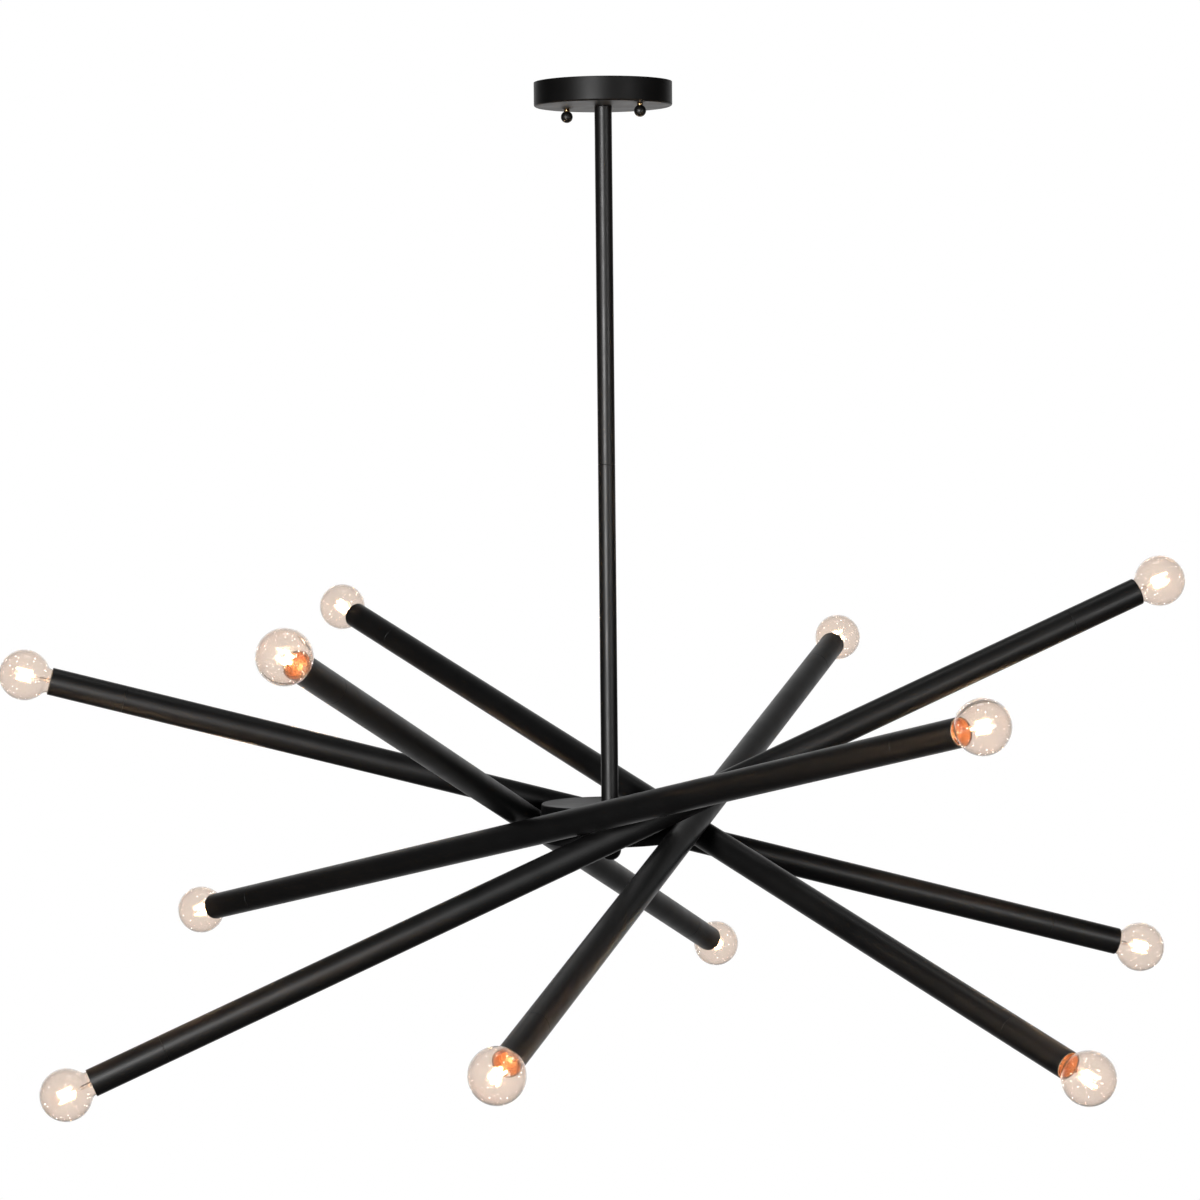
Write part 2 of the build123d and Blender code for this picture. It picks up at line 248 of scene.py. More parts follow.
def black_coat(name, smoothest, roughest, gloss_level):
    """Powder coat: a fine orange peel, and a gloss that varies a little along the tube."""
    material, tree, shader = finish_base(name, (0.003, 0.003, 0.003), roughest)
    shader.inputs["Specular IOR Level"].default_value = gloss_level
    vary(tree, shader, "Base Color", noise(tree, 14.0), (0.0018, 0.0018, 0.0020), (0.0034, 0.0032, 0.0031))
    vary(tree, shader, "Roughness", noise(tree, 45.0), smoothest, roughest)
    bump(tree, shader, noise(tree, 1500.0, 2.0), 0.02, 0.0001)
    return material


def turned_brass(name, darkest, lightest):
    """Brass with a slightly uneven tone and gloss."""
    material, tree, shader = finish_base(name, lightest, 0.3, 1.0)
    vary(tree, shader, "Base Color", noise(tree, 260.0), darkest, lightest)
    vary(tree, shader, "Roughness", noise(tree, 900.0), 0.22, 0.40)
    bump(tree, shader, noise(tree, 2500.0), 0.1, 0.0001)
    return material


def zinc_plate():
    """Zinc plate with a faint grain one way."""
    material, tree, shader = finish_base("zinc_plate", (0.60, 0.61, 0.62), 0.35, 1.0)
    one_way = (1.0, 14.0, 1.0)
    vary(tree, shader, "Base Color", noise(tree, 180.0, 5.0), (0.50, 0.51, 0.53), (0.70, 0.70, 0.68))
    vary(tree, shader, "Roughness", noise(tree, 700.0, 3.0, one_way), 0.28, 0.48)
    bump(tree, shader, noise(tree, 900.0, 3.0, one_way), 0.08, 0.0001)
    return material


def holder_moulding():
    """Brown moulded lampholder, which the lit filament turns copper-coloured."""
    material, tree, shader = finish_base("holder_moulding", (0.55, 0.22, 0.08), 0.3)
    vary(tree, shader, "Base Color", noise(tree, 500.0, 4.0), (0.18, 0.064, 0.018), (0.38, 0.145, 0.044))
    vary(tree, shader, "Roughness", noise(tree, 1200.0), 0.20, 0.32)
    bump(tree, shader, noise(tree, 3000.0), 0.08, 0.0001)
    return material


def globe_glass():
    """Clear blown glass, warmly tinted, with a fine dust that spreads a little of the filament's light."""
    material, tree, shader = finish_base("globe_glass", (0.88, 0.81, 0.77), 0.0)
    shader.inputs["Transmission Weight"].default_value = 1.0
    shader.inputs["IOR"].default_value = 1.45
    vary(tree, shader, "Base Color", noise(tree, 60.0), (0.854, 0.784, 0.732), (0.894, 0.824, 0.772))
    vary(tree, shader, "Roughness", noise(tree, 40000.0, 0.0), 0.0, 0.27, (0.645, 0.66))
    return material


def glowing(name, color, strength, cooler):
    """Hot tungsten, with slightly cooler patches along the coil."""
    material, tree, shader = finish_base(name, (0.9, 0.8, 0.6), 0.4)
    vary(tree, shader, "Emission Color", noise(tree, 900.0), cooler, color, (0.35, 0.65))
    shader.inputs["Emission Strength"].default_value = strength
    return material


def painted_seed_glints():
    """Tiny blisters in the glass, made to glow as white sparks by themselves: painted glints."""
    material, tree, shader = finish_base("painted_seed_glints", (1.0, 0.98, 0.95), 0.1)
    # Painted glints: the blisters' emission colour runs from warm to white.
    vary(tree, shader, "Emission Color", noise(tree, 300.0), (1.0, 0.9, 0.78), (1.0, 1.0, 1.0))
    shader.inputs["Emission Strength"].default_value = 8.0
    return material


COAT = black_coat("satin_black_coat", 0.40, 0.47, 0.50)
DULL_COAT = black_coat("dull_black_coat", 0.42, 0.50, 0.25)
BRASS = turned_brass("aged_brass", (0.30, 0.17, 0.070), (0.46, 0.29, 0.135))
SHELL_BRASS = turned_brass("red_brass", (0.74, 0.37, 0.14), (0.90, 0.52, 0.24))
ZINC = zinc_plate()
MOULDING = holder_moulding()
GLASS = globe_glass()
FILAMENT = glowing("hot_filament", (1.0, 0.72, 0.44), 600.0, (1.0, 0.60, 0.32))
# Blisters that glow by themselves: painted glints in the glass.
SEED_GLINT_GLOW = painted_seed_glints()


# Mesh helpers

def link_piece(name, mesh, body, replaced=()):
    """A finished piece on its body, in place of the built nodes that it replaces."""
    piece = bpy.data.objects.new(name, mesh)
    bpy.context.scene.collection.objects.link(piece)
    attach(piece, body)
    if replaced:
        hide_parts(*replaced)
    return piece


def rounded_outline(corners, steps=5):
    """Points of an outline given by its corners, as (radius, height, rounding of that corner).

    A point just past each end of a rounding keeps the straight runs between them evenly shaded.
    """
    points = []
    for here, (radius, height, rounding) in enumerate(corners):
        corner = Vector((radius, height))
        if rounding == 0:
            points.append(corner)
            continue
        before = (Vector(corners[here - 1][:2]) - corner).normalized()
        after = (Vector(corners[(here + 1) % len(corners)][:2]) - corner).normalized()
        half = before.angle(after) / 2
        centre = corner + (before + after).normalized() * (rounding / sin(half))
        first = corner + before * (rounding / tan(half)) - centre
        last = corner + after * (rounding / tan(half)) - centre
        turn = (atan2(last.y, last.x) - atan2(first.y, first.x) + pi) % tau - pi
        points.append(centre + first + before * rounding / 8)
        for step in range(steps + 1):
            angle = atan2(first.y, first.x) + turn * step / steps
            points.append(centre + Vector((cos(angle), sin(angle))) * rounding)
        points.append(centre + last + after * rounding / 8)
    return points


def shade(mesh):
    """Smooth shading, broken at sharp edges."""
    mesh.shade_smooth()
    mesh.set_sharp_from_angle(angle=SHARP_ANGLE)


def ring_points(build, radius, height, sides):
    """A ring of points about Z, or one point on the axis in place of all of them."""
    if radius < ON_AXIS:
        return [build.verts.new((0.0, 0.0, height))] * sides
    turns = [tau * side / sides for side in range(sides)]
    return [build.verts.new((radius * cos(turn), radius * sin(turn), height)) for turn in turns]


def turned(outlines, material, place=Matrix.Identity(4), sides=72):
    """A mesh turned about Z from closed outlines of (radius, height) points, then set in its place."""
    mesh = bpy.data.meshes.new("turned")
    build = bmesh.new()
    for outline in outlines:
        rings = [ring_points(build, radius, height, sides) for radius, height in outline]
        for ring, following in zip(rings, rings[1:] + rings[:1]):
            for side in range(sides):
                beside = (side + 1) % sides
                quad = (ring[side], ring[beside], following[beside], following[side])
                corners = list(dict.fromkeys(quad))
                if len(corners) > 2:
                    build.faces.new(corners)
    bmesh.ops.recalc_face_normals(build, faces=build.faces)
    build.to_mesh(mesh)
    build.free()
    mesh.transform(place)
    shade(mesh)
    mesh.materials.append(material)
    return mesh


def joined(meshes, name):
    """Several meshes as one, each keeping its own finish."""
    build = bmesh.new()
    materials = []
    for part in meshes:
        first_face = len(build.faces)
        build.from_mesh(part)
        build.faces.ensure_lookup_table()
        for face in build.faces[first_face:]:
            finish = part.materials[face.material_index]
            if finish not in materials:
                materials.append(finish)
            face.material_index = materials.index(finish)
    mesh = bpy.data.meshes.new(name)
    build.to_mesh(mesh)
    build.free()
    shade(mesh)
    for finish in materials:
        mesh.materials.append(finish)
    return mesh


def pipe(radius, bore, low, high, edge, spans=1):
    """A tube with rounded ends, whose outside is divided along its length."""
    length = high - low
    along = [(radius, low + length * step / spans, 0) for step in range(1, spans)]
    return rounded_outline([(radius, low, edge), *along, (radius, high, edge), (bore, high, edge / 2),
                            (bore, low, edge / 2)])


def arc_points(radius, start, end, count):
    """Points of a circle about the origin; angles are from the top, down the right side."""
    turns = [start + (end - start) * step / count for step in range(count + 1)]
    return [Vector((radius * sin(turn), radius * cos(turn))) for turn in turns]


# Geometry node trees

class Tree:
    """A short way to write a geometry node tree with named inputs."""

    def __init__(self, name, sizes):
        self.tree = bpy.data.node_groups.new(name, "GeometryNodeTree")
        face = self.tree.interface
        face.new_socket("Geometry", in_out="INPUT", socket_type="NodeSocketGeometry")
        self.entries = {size: face.new_socket(size, in_out="INPUT", socket_type=kind).identifier
                        for size, kind in sizes.items()}
        face.new_socket("Geometry", in_out="OUTPUT", socket_type="NodeSocketGeometry")
        self.start = self.add("NodeGroupInput")
        self.end = self.add("NodeGroupOutput")

    def add(self, kind, **values):
        """A new node, with its own settings."""
        node = self.tree.nodes.new(kind)
        for entry, value in values.items():
            setattr(node, entry, value)
        return node

    def put(self, node, entry, source):
        """Joins a socket to a node's output, to a named input, or sets it to a value."""
        if isinstance(source, str):
            self.tree.links.new(self.start.outputs[source], node.inputs[entry])
        elif isinstance(source, bpy.types.NodeSocket):
            self.tree.links.new(source, node.inputs[entry])
        else:
            node.inputs[entry].default_value = source

    def close(self, geometry, material):
        """Makes the shapes real, gives them their finish and ends the tree."""
        whole = self.add("GeometryNodeRealizeInstances")
        coat = self.add("GeometryNodeSetMaterial")
        self.put(whole, "Geometry", geometry)
        self.put(coat, "Geometry", whole.outputs["Geometry"])
        coat.inputs["Material"].default_value = material
        self.put(self.end, "Geometry", coat.outputs["Geometry"])
        return self


def swept(tree, path, sides, thickness):
    """A round or three-cornered bar along a path."""
    section = tree.add("GeometryNodeCurvePrimitiveCircle")
    tree.put(section, "Resolution", sides)
    tree.put(section, "Radius", thickness)
    bar = tree.add("GeometryNodeCurveToMesh")
    tree.put(bar, "Curve", path)
    tree.put(bar, "Profile Curve", section.outputs["Curve"])
    bar.inputs["Fill Caps"].default_value = True
    return bar.outputs["Mesh"]


def thread_tree(material):
    """A screw thread: a three-cornered ridge on a helix, rising from the origin."""
    tree = Tree("screw_thread", {"Radius": FLOAT, "Length": FLOAT, "Turns": FLOAT, "Ridge": FLOAT})
    helix = tree.add("GeometryNodeCurveSpiral")
    tree.put(helix, "Resolution", 28)
    tree.put(helix, "Rotations", "Turns")
    tree.put(helix, "Start Radius", "Radius")
    tree.put(helix, "End Radius", "Radius")
    tree.put(helix, "Height", "Length")
    return tree.close(swept(tree, helix.outputs["Curve"], 3, "Ridge"), material)


def filament_tree(material):
    """A hot wire that goes up and down between supports, most of the way round a ring."""
    tree = Tree("filament", {"Radius": FLOAT, "Span": FLOAT, "Peaks": WHOLE, "Bend": FLOAT, "Wire": FLOAT})
    points = tree.add("ShaderNodeMath", operation="MULTIPLY")
    tree.put(points, 0, "Peaks")
    tree.put(points, 1, 2.0)
    ring = tree.add("GeometryNodeCurveArc")
    tree.put(ring, "Resolution", points.outputs[0])
    tree.put(ring, "Radius", "Radius")
    tree.put(ring, "Sweep Angle", FILAMENT_SWEEP)
    count = tree.add("GeometryNodeInputIndex")
    odd = tree.add("ShaderNodeMath", operation="MODULO")
    tree.put(odd, 0, count.outputs["Index"])
    tree.put(odd, 1, 2.0)
    side = tree.add("ShaderNodeMath", operation="SUBTRACT")
    tree.put(side, 0, odd.outputs[0])
    tree.put(side, 1, 0.5)
    lift = tree.add("ShaderNodeMath", operation="MULTIPLY")
    tree.put(lift, 0, side.outputs[0])
    tree.put(lift, 1, "Span")
    offset = tree.add("ShaderNodeCombineXYZ")
    tree.put(offset, "Z", lift.outputs[0])
    zigzag = tree.add("GeometryNodeSetPosition")
    tree.put(zigzag, "Geometry", ring.outputs["Curve"])
    tree.put(zigzag, "Offset", offset.outputs["Vector"])
    bends = tree.add("GeometryNodeFilletCurve", mode="POLY")
    tree.put(bends, "Curve", zigzag.outputs["Geometry"])
    tree.put(bends, "Count", 5)
    tree.put(bends, "Radius", "Bend")
    return tree.close(swept(tree, bends.outputs["Curve"], 8, "Wire"), material)


def seed_tree(material):
    """Blisters scattered in a globe's wall."""
    tree = Tree("glass_seeds", {"Density": FLOAT, "Size": FLOAT, "Seed": WHOLE})
    spots = tree.add("GeometryNodeDistributePointsOnFaces")
    tree.put(spots, "Mesh", "Geometry")
    tree.put(spots, "Density", "Density")
    tree.put(spots, "Seed", "Seed")
    blister = tree.add("GeometryNodeMeshIcoSphere")
    tree.put(blister, "Radius", "Size")
    tree.put(blister, "Subdivisions", 2)
    spread = tree.add("FunctionNodeRandomValue", data_type="FLOAT")
    spread.inputs[2].default_value = 0.35
    spread.inputs[3].default_value = 1.0
    tree.put(spread, "Seed", "Seed")
    scatter = tree.add("GeometryNodeInstanceOnPoints")
    tree.put(scatter, "Points", spots.outputs["Points"])
    tree.put(scatter, "Instance", blister.outputs["Mesh"])
    tree.put(scatter, "Scale", spread.outputs[1])
    return tree.close(scatter.outputs["Instances"], material)


def grown(tree, place, base=None, **sizes):
    """The plain mesh that a tree makes, set in its place."""
    source = bpy.data.objects.new("growing", base or bpy.data.meshes.new("growing"))
    bpy.context.scene.collection.objects.link(source)
    modifier = source.modifiers.new("grow", "NODES")
    modifier.node_group = tree.tree
    for size, value in sizes.items():
        modifier[tree.entries[size]] = value
    bpy.context.view_layer.update()
    graph = bpy.context.evaluated_depsgraph_get()
    mesh = bpy.data.meshes.new_from_object(source.evaluated_get(graph), depsgraph=graph)
    source.modifiers.remove(modifier)
    bpy.data.objects.remove(source)
    mesh.transform(place)
    shade(mesh)
    return mesh


BRASS_THREAD = thread_tree(BRASS)
HOT_WIRE = filament_tree(FILAMENT)
SEEDS = seed_tree(SEED_GLINT_GLOW)


# Ceiling side and stem

def stud_places(height):
    """Both studs' axes, at a height."""
    return [Matrix.Translation((side * STUD_SPACING / 2, 0.0, height)) for side in (-1, 1)]


def ball_nuts():
    """Black balls on brass necks, screwed up against the canopy on threaded studs."""
    canopy_underside = reach("canopy")[1]
    seat_height = sqrt(BALL_NUT_RADIUS ** 2 - NECK_RADIUS ** 2)
    top = BALL_NUT_DROP - seat_height
    seat = atan2(NECK_RADIUS, seat_height)
    ball = arc_points(BALL_NUT_RADIUS, seat, pi, 28)
    ball[-1] = Vector((0.0, -BALL_NUT_RADIUS))
    ball.append(Vector((0.0, ball[0].y)))
    balls = [turned([ball], COAT, place, 48) for place in stud_places(canopy_underside - BALL_NUT_DROP)]
    ball_mesh = joined(balls, "ball_nut_balls")
    link_piece("ball_nut_balls", ball_mesh, "hanger", ["canopy_ball_nuts"])
    collar = pipe(NECK_RADIUS, STUD_RADIUS, -top, 0.0, NECK_EDGE)
    necks = [turned([collar], BRASS, place, 40) for place in stud_places(canopy_underside)]
    link_piece("ball_nut_necks", joined(necks, "ball_nut_necks"), "hanger")


def threaded_studs():
    """Two brass studs, each a core with a thread wound on it."""
    low, high = reach("crossbar_studs")[1:]
    ridge = STUD_PITCH / 3
    core = STUD_RADIUS - ridge
    shank = rounded_outline([(0.0, low, 0), (core, low, core / 3), (core, high, core / 3), (0.0, high, 0)])
    length = high - low - 2 * ridge
    parts = []
    for place in stud_places(0.0):
        parts.append(turned([shank], BRASS, place, 24))
        parts.append(grown(BRASS_THREAD, place @ Matrix.Translation((0.0, 0.0, low + ridge)), Radius=core,
                           Length=length, Turns=length / STUD_PITCH, Ridge=ridge))
    link_piece("threaded_studs", joined(parts, "threaded_studs"), "hanger", ["crossbar_studs"])


def stem_rods():
    """The two rods of the stem, as tubes."""
    for name in ("upper_rod", "lower_rod"):
        radius, low, high = reach(name)
        mesh = turned([pipe(radius, radius - ROD_WALL, low, high, ROD_EDGE, 12)], COAT, sides=96)
        link_piece(f"{name}_tube", mesh, "hanger", [name])


def finial_ball():
    """The ball below the hub, flat where it meets the cover."""
    radius, low, high = reach("hub_finial")
    centre = low + radius
    start = atan2(FINIAL_SEAT, high - centre)
    ball = arc_points(radius, start, pi, 40)
    ball = [Vector((max(point.x, 0.0), min(point.y + centre, high))) for point in ball]
    ball[-1].x = 0.0
    ball.append(Vector((0.0, high)))
    link_piece("finial_ball", turned([ball], COAT, sides=72), "hanger", ["hub_finial"])


# Arms

def arm_tubes(arm):
    """An arm's middle tube and its two end sleeves; gives the bore that the lampholders fit."""
    place = arm_place(arm)
    radius, low, high = reach(f"{arm}_tube", place)
    bore = radius - TUBE_WALL
    mesh = turned([pipe(radius, bore, low, high, TUBE_EDGE, 24)], COAT, place, 96)
    link_piece(f"{arm}_middle_tube", mesh, arm, [f"{arm}_tube"])
    mouth = reach(f"{arm}_end_sleeves", place)[2]
    ends = [turned([pipe(radius, bore, start, finish, MOUTH_EDGE, 3)], COAT, place, 96)
            for start, finish in ((high, mouth), (-mouth, low))]
    link_piece(f"{arm}_sleeves", joined(ends, f"{arm}_sleeves"), arm, [f"{arm}_end_sleeves"])
    return bore


def lampholders(arm, bore):
    """Brown mouldings lined up towards the tube's mouths, and brass screw shells with beaded flanges."""
    outside = bore - SPIGOT_GAP
    lined = outside - LINER_WALL
    shell_radius = HOLDER_BORE + SHELL_WALL
    socket = shell_radius + SPIGOT_GAP
    cup = rounded_outline([
        (0.0, HOLDER_BACK, 0), (outside, HOLDER_BACK, 0.0008), (outside, LINER_END, 0.0001),
        (lined, LINER_END, 0.0001), (lined, RECESS, 0.0003), (RIDGE_FOOT_OUTSIDE, RECESS, 0.0003),
        (RIDGE_TOP_OUTSIDE, HOLDER_FACE, 0.0004), (RIDGE_TOP_INSIDE, HOLDER_FACE, 0.0004),
        (RIDGE_FOOT_INSIDE, RECESS, 0.0002), (socket, RECESS, 0.0002), (socket, HOLDER_FLOOR, 0),
        (0.0, HOLDER_FLOOR, 0)])
    flange = RECESS + SPIGOT_GAP
    shell = rounded_outline([
        (HOLDER_BORE, SHELL_BACK, 0.0002), (shell_radius, SHELL_BACK, 0.0002),
        (shell_radius, flange, 0.0001), (FLANGE_RADIUS, flange, 0.0003),
        (FLANGE_RADIUS, HOLDER_FACE, 0.0004), (GROOVE_MOUTH_OUTSIDE, HOLDER_FACE, 0.0003),
        (GROOVE_FLOOR_OUTSIDE, GROOVE_FLOOR, 0.0001), (GROOVE_FLOOR_INSIDE, GROOVE_FLOOR, 0.0001),
        (GROOVE_MOUTH_INSIDE, HOLDER_FACE, 0.0003), (HOLDER_BORE, HOLDER_FACE, 0.0004)])
    for end in ENDS:
        place = bulb_place(arm, end)
        cup_mesh = turned([cup], MOULDING, place, 64)
        replaced = [f"{arm}_lampholders"] if end == "upper" else []
        link_piece(f"{arm}_{end}_holder", cup_mesh, arm, replaced)
        link_piece(f"{arm}_{end}_screw_shell", turned([shell], SHELL_BRASS, place, 64), arm)


# Bulbs

def glass_outline(inset):
    """Globe, shoulder, neck and taper of the blown glass, from the crown down to the cap."""
    radius = GLOBE_RADIUS - inset
    shoulder = SHOULDER_RADIUS - inset
    turn = pi - atan2(shoulder, sqrt(radius ** 2 - shoulder ** 2))
    globe = arc_points(radius, 0.0, turn, 40)
    start, end = globe[-1], Vector((NECK_GLASS_RADIUS - inset, NECK_TOP))
    pull = (start - end).length / 3
    leave = start + Vector((cos(turn), -sin(turn))) * pull
    arrive = end + Vector((0.0, pull))
    flare = []
    for step in range(1, 9):
        t = step / 8
        first_half = start * (1 - t) ** 3 + leave * 3 * t * (1 - t) ** 2
        flare.append(first_half + arrive * 3 * t * t * (1 - t) + end * t ** 3)
    return globe + flare + [Vector((NECK_END_RADIUS - inset, NECK_END))]


def bulb_cap(place):
    """Brass screw cap with a rolled thread and a tip contact."""
    core = CAP_RADIUS - CAP_THREAD_DEPTH
    inside = core - CAP_WALL
    tip = CAP_END + CONTACT_HEIGHT
    shell = rounded_outline([
        (0.0, tip, 0), (core - CAP_TAPER_DEPTH, tip, 0.0006), (core, tip + CAP_TAPER_HEIGHT, 0.0008),
        (core, CAP_RIM, 0.0003), (inside, CAP_RIM, 0), (inside, CAP_FLOOR, 0), (0.0, CAP_FLOOR, 0)])
    contact = rounded_outline([
        (0.0, CAP_END, 0), (CONTACT_RADIUS, CAP_END, 0.0008), (CONTACT_RADIUS, tip, 0), (0.0, tip, 0)])
    thread_place = place @ Matrix.Translation((0.0, 0.0, tip + CAP_THREAD_START))
    thread = grown(BRASS_THREAD, thread_place, Radius=core, Length=CAP_PITCH * CAP_THREAD_TURNS,
                   Turns=float(CAP_THREAD_TURNS), Ridge=CAP_THREAD_DEPTH)
    shell_mesh = turned([shell], SHELL_BRASS, place, 48)
    contact_mesh = turned([contact], ZINC, place, 32)
    return joined([shell_mesh, contact_mesh, thread], "bulb_cap")


def wire(points, radius, material, place):
    """A thin round wire through points."""
    curve = bpy.data.curves.new("wire", "CURVE")
    curve.dimensions = "3D"
    curve.bevel_depth = radius
    curve.bevel_resolution = 2
    curve.use_fill_caps = True
    run = curve.splines.new("POLY")
    run.points.add(len(points) - 1)
    for spot, point in zip(run.points, points):
        spot.co = (*point, 1.0)
    source = bpy.data.objects.new("wire", curve)
    mesh = bpy.data.meshes.new_from_object(source)
    bpy.data.objects.remove(source)
    bpy.data.curves.remove(curve)
    mesh.materials.clear()
    mesh.materials.append(material)
    mesh.transform(place)
    return mesh


def filament_foot(turn):
    """Where a lead or a support takes hold of the filament."""
    return Vector((FILAMENT_RADIUS * cos(turn), FILAMENT_RADIUS * sin(turn), -FILAMENT_RISE / 2))


def bulb_mount(place):
    """The lead wires and supports that carry the filament, on a small glass stem."""
    stem = rounded_outline([
        (0.0, STEM_FOOT, 0), (STEM_FOOT_RADIUS, STEM_FOOT, 0.0006), (STEM_WAIST_RADIUS, STEM_WAIST, 0.0010),
        (STEM_TOP_RADIUS, STEM_TOP, 0.0006), (0.0, STEM_TOP, 0)])
    parts = [turned([stem], GLASS, place, 32)]
    for turn in (0.0, FILAMENT_SWEEP):
        foot = Vector((LEAD_SPREAD * cos(turn), LEAD_SPREAD * sin(turn), LEAD_FOOT))
        knee = foot + Vector((0.0, 0.0, LEAD_STRAIGHT))
        parts.append(wire([foot, knee, filament_foot(turn)], LEAD_RADIUS, ZINC, place))
    for peak in range(1, FILAMENT_PEAKS - 1, 2):
        turn = FILAMENT_SWEEP * (2 * peak) / (2 * FILAMENT_PEAKS - 1)
        foot = Vector((0.0, 0.0, SUPPORT_FOOT))
        parts.append(wire([foot, filament_foot(turn)], SUPPORT_RADIUS, ZINC, place))
    return joined(parts, "bulb_mount")


def bulb(arm, end, number):
    """One lit bulb; its number seeds the blisters in its glass."""
    name = f"{arm}_{end}_bulb"
    place = bulb_place(arm, end)
    wall = glass_outline(0.0) + glass_outline(GLASS_WALL)[::-1]
    glass = link_piece(f"{name}_glass", turned([wall], GLASS, place, 72), name, [name])
    glass.visible_shadow = False
    link_piece(f"{name}_cap", bulb_cap(place), name)
    mount = link_piece(f"{name}_mount", bulb_mount(place), name)
    mount.visible_shadow = False
    filament = grown(HOT_WIRE, place, Radius=FILAMENT_RADIUS, Span=FILAMENT_SPAN, Peaks=FILAMENT_PEAKS,
                     Bend=FILAMENT_BEND, Wire=FILAMENT_WIRE)
    link_piece(f"{name}_filament", filament, name)
    # Blisters that glow white by themselves: painted glints scattered over the globe.
    seeded = arc_points(GLOBE_RADIUS - SEED_RADIUS, 0.0, SEEDED_ANGLE, 24)
    shell = turned([seeded + [Vector((0.0, seeded[-1].y))]], SEED_GLINT_GLOW, sides=48)
    seeds = grown(SEEDS, place, shell, Density=SEEDS_PER_AREA, Size=SEED_RADIUS, Seed=number)
    link_piece(f"{name}_seeds", seeds, name)


# Finishes of the pieces that stay as they were built

def dress_built_pieces():
    """Gives each node that is kept its finish."""
    finishes = {"ceiling_crossbar": ZINC, "stem_lock_nuts": ZINC, "stem_nipples": BRASS,
                "hub_nipple": BRASS, "canopy": DULL_COAT, "hub_drum": COAT, "hub_cover": COAT}
    for arm in ARMS:
        finishes[f"{arm}_pivot_saddle"] = COAT
        finishes[f"{arm}_pivot_nipple"] = BRASS
        finishes[f"{arm}_lock_nut"] = ZINC
    for node, finish in finishes.items():
        for entry in NODES[node].material_slots:
            entry.material = finish


# Studio

def studio_point(right, away, height):
    """A point given as the photograph's camera sees it: to the right, away from it, and up."""
    turn = Matrix.Rotation(VIEW_TURN, 3, "Z")
    return turn @ Vector((right, away, 0.0)) + Vector((0.0, 0.0, height))


def camera():
    """The photograph's camera."""
    lens = bpy.data.cameras.new("camera")
    lens.sensor_width = SENSOR_WIDTH
    lens.lens = CAMERA_LENS
    lens.clip_end = 60.0
    stand = bpy.data.objects.new("camera", lens)
    right = studio_point(1.0, 0.0, 0.0)
    forward = studio_point(0.0, cos(CAMERA_PITCH), -sin(CAMERA_PITCH))
    up = right.cross(forward)
    tipped_right = right * cos(CAMERA_ROLL) + up * sin(CAMERA_ROLL)
    tipped_up = up * cos(CAMERA_ROLL) - right * sin(CAMERA_ROLL)
    place = Matrix((tipped_right, tipped_up, -forward)).transposed().to_4x4()
    place.translation = studio_point(CAMERA_RIGHT, -CAMERA_BACK, CAMERA_HEIGHT)
    stand.matrix_world = place
    bpy.context.scene.collection.objects.link(stand)
    bpy.context.scene.camera = stand


def soft_box(name, spot, size, power):
    """A round soft light, turned towards the hub and not seen itself."""
    lamp = bpy.data.lights.new(name, "AREA")
    lamp.shape = "DISK"
    lamp.size = size
    lamp.energy = power
    stand = bpy.data.objects.new(name, lamp)
    stand.location = spot
    aim = Vector((0.0, 0.0, HUB_LEVEL)) - stand.location
    stand.rotation_euler = aim.to_track_quat("-Z", "Y").to_euler()
    stand.visible_camera = False
    stand.visible_transmission = False
    bpy.context.scene.collection.objects.link(stand)


def backdrop(tree, facing, side, middle, dim, bright):
    """A level that rises from the room's sides to the middle of the backdrop."""
    fade = tree.nodes.new("ShaderNodeMapRange")
    fade.interpolation_type = "SMOOTHSTEP"
    for entry, value in (("From Min", side), ("From Max", middle), ("To Min", dim), ("To Max", bright)):
        fade.inputs[entry].default_value = value
    tree.links.new(facing.outputs["Value"], fade.inputs["Value"])
    return fade.outputs["Result"]


def choose(tree, test, otherwise, level):
    """One of two levels, as numbers or sockets."""
    mix = tree.nodes.new("ShaderNodeMix")
    tree.links.new(test, mix.inputs["Factor"])
    for entry, value in (("A", otherwise), ("B", level)):
        if isinstance(value, float):
            mix.inputs[entry].default_value = value
        else:
            tree.links.new(value, mix.inputs[entry])
    return mix.outputs["Result"]


def white_room():
    """White behind the light and seen through glass; a dimmer room in front of it."""
    world = bpy.data.worlds.new("white_room")
    world.use_nodes = True
    bpy.context.scene.world = world
    tree = world.node_tree
    sky = tree.nodes["Background"]
    rays = tree.nodes.new("ShaderNodeLightPath")
    where = tree.nodes.new("ShaderNodeTexCoord")
    facing = tree.nodes.new("ShaderNodeVectorMath")
    facing.operation = "DOT_PRODUCT"
    facing.inputs[1].default_value = studio_point(0.0, 1.0, 0.0)
    link(tree, where, "Generated", facing, 0)
    mirrored = backdrop(tree, facing, side=0.60, middle=0.97, dim=0.03, bright=1.00)
    through = backdrop(tree, facing, side=0.45, middle=0.92, dim=0.40, bright=1.00)
    level = choose(tree, rays.outputs["Is Glossy Ray"], ROOM_LEVEL, mirrored)
    level = choose(tree, rays.outputs["Is Transmission Ray"], level, through)
    level = choose(tree, rays.outputs["Is Camera Ray"], level, 1.0)
    tree.links.new(level, sky.inputs["Strength"])
    sky.inputs["Color"].default_value = (1.0, 1.0, 1.0, 1.0)


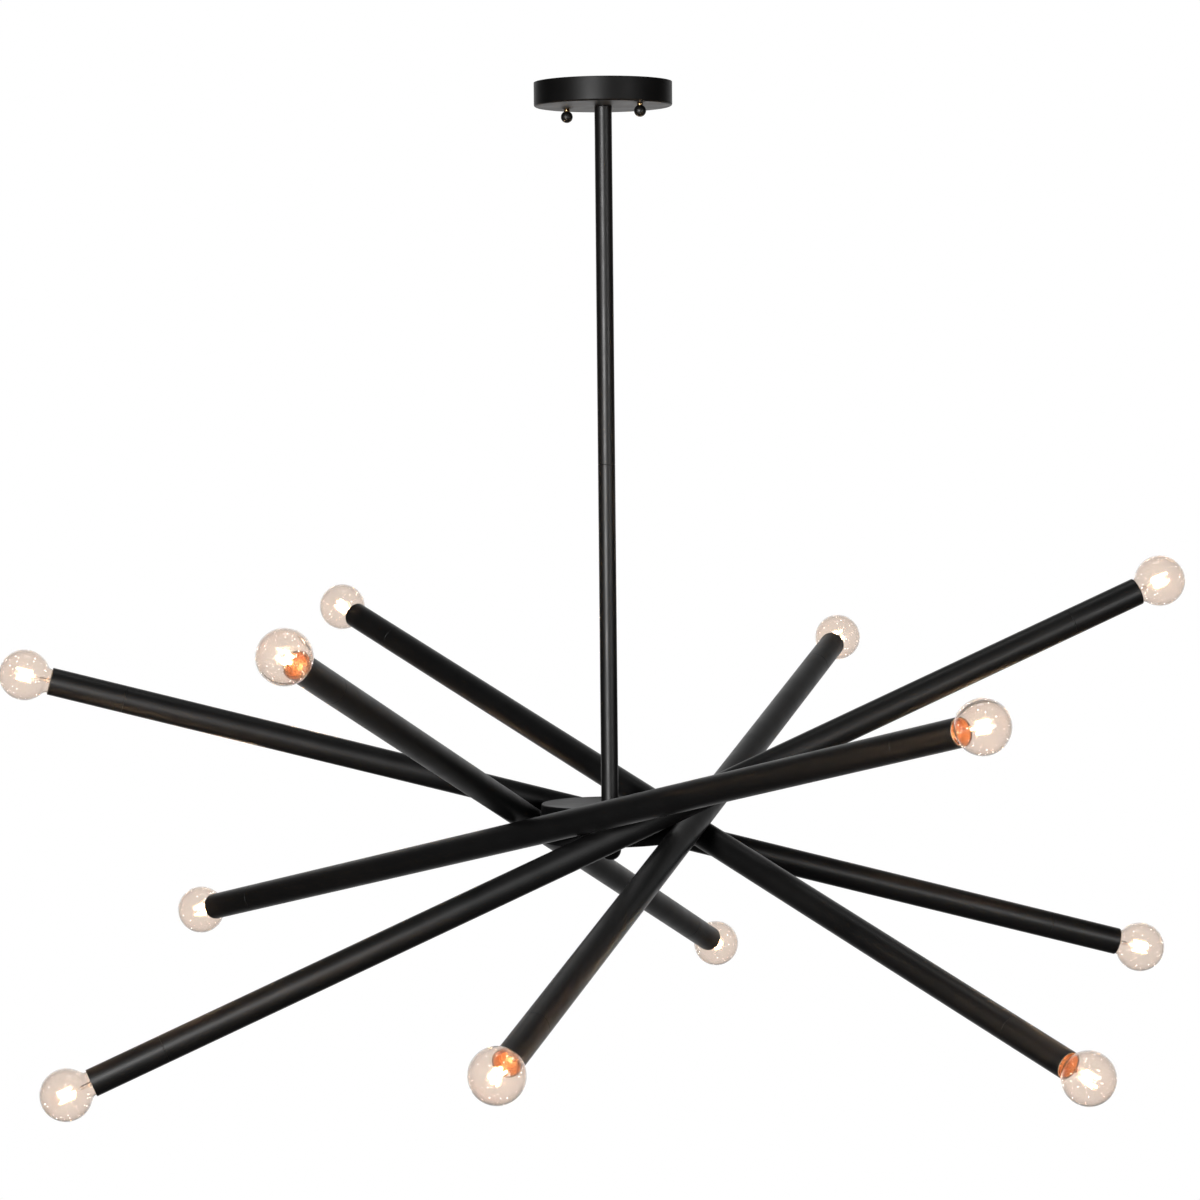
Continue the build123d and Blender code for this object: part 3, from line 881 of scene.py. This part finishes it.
def floor():
    """A pale round floor that fades into the white room at its rim."""
    mesh = bpy.data.meshes.new("floor")
    build = bmesh.new()
    bmesh.ops.create_circle(build, cap_ends=True, segments=96, radius=FLOOR_RADIUS)
    build.to_mesh(mesh)
    build.free()
    mesh.transform(Matrix.Translation((0.0, 0.0, FLOOR_LEVEL)))
    material, tree, shader = finish_base("pale_floor", (0.45, 0.45, 0.45), 0.8)
    where = tree.nodes.new("ShaderNodeTexCoord")
    flat = tree.nodes.new("ShaderNodeVectorMath")
    flat.operation = "MULTIPLY"
    flat.inputs[1].default_value = (1.0, 1.0, 0.0)
    link(tree, where, "Object", flat, 0)
    distance = tree.nodes.new("ShaderNodeVectorMath")
    distance.operation = "LENGTH"
    link(tree, flat, "Vector", distance, 0)
    rim = tree.nodes.new("ShaderNodeMapRange")
    for entry, value in (("From Min", FLOOR_FADE_START), ("From Max", FLOOR_FADE_END),
                         ("To Min", FLOOR_WHITE_SHARE), ("To Max", 1.0)):
        rim.inputs[entry].default_value = value
    tree.links.new(distance.outputs["Value"], rim.inputs["Value"])
    rays = tree.nodes.new("ShaderNodeLightPath")
    share = tree.nodes.new("ShaderNodeMath")
    share.operation = "MULTIPLY"
    tree.links.new(rim.outputs["Result"], share.inputs[0])
    link(tree, rays, "Is Camera Ray", share, 1)
    white = tree.nodes.new("ShaderNodeEmission")
    mix = tree.nodes.new("ShaderNodeMixShader")
    tree.links.new(share.outputs[0], mix.inputs["Fac"])
    tree.links.new(shader.outputs["BSDF"], mix.inputs[1])
    tree.links.new(white.outputs["Emission"], mix.inputs[2])
    tree.links.new(mix.outputs["Shader"], tree.nodes["Material Output"].inputs["Surface"])
    mesh.materials.append(material)
    piece = bpy.data.objects.new("floor", mesh)
    bpy.context.scene.collection.objects.link(piece)
    piece.visible_glossy = False


ball_nuts()
threaded_studs()
stem_rods()
finial_ball()
for position, arm_name in enumerate(ARMS):
    tube_bore = arm_tubes(arm_name)
    lampholders(arm_name, tube_bore)
    for step, end_name in enumerate(ENDS):
        bulb(arm_name, end_name, 2 * position + step + 1)
dress_built_pieces()

bpy.context.scene.view_settings.view_transform = "Standard"
camera()
white_room()
floor()
soft_box("key_box", studio_point(-1.12, -3.0, -0.26), size=0.7, power=100.0)
soft_box("fill_box", studio_point(2.1, -2.4, -0.28), size=0.7, power=19.0)
soft_box("top_box", studio_point(0.0, 0.4, HUB_LEVEL + 3.2), size=1.0, power=6.0)
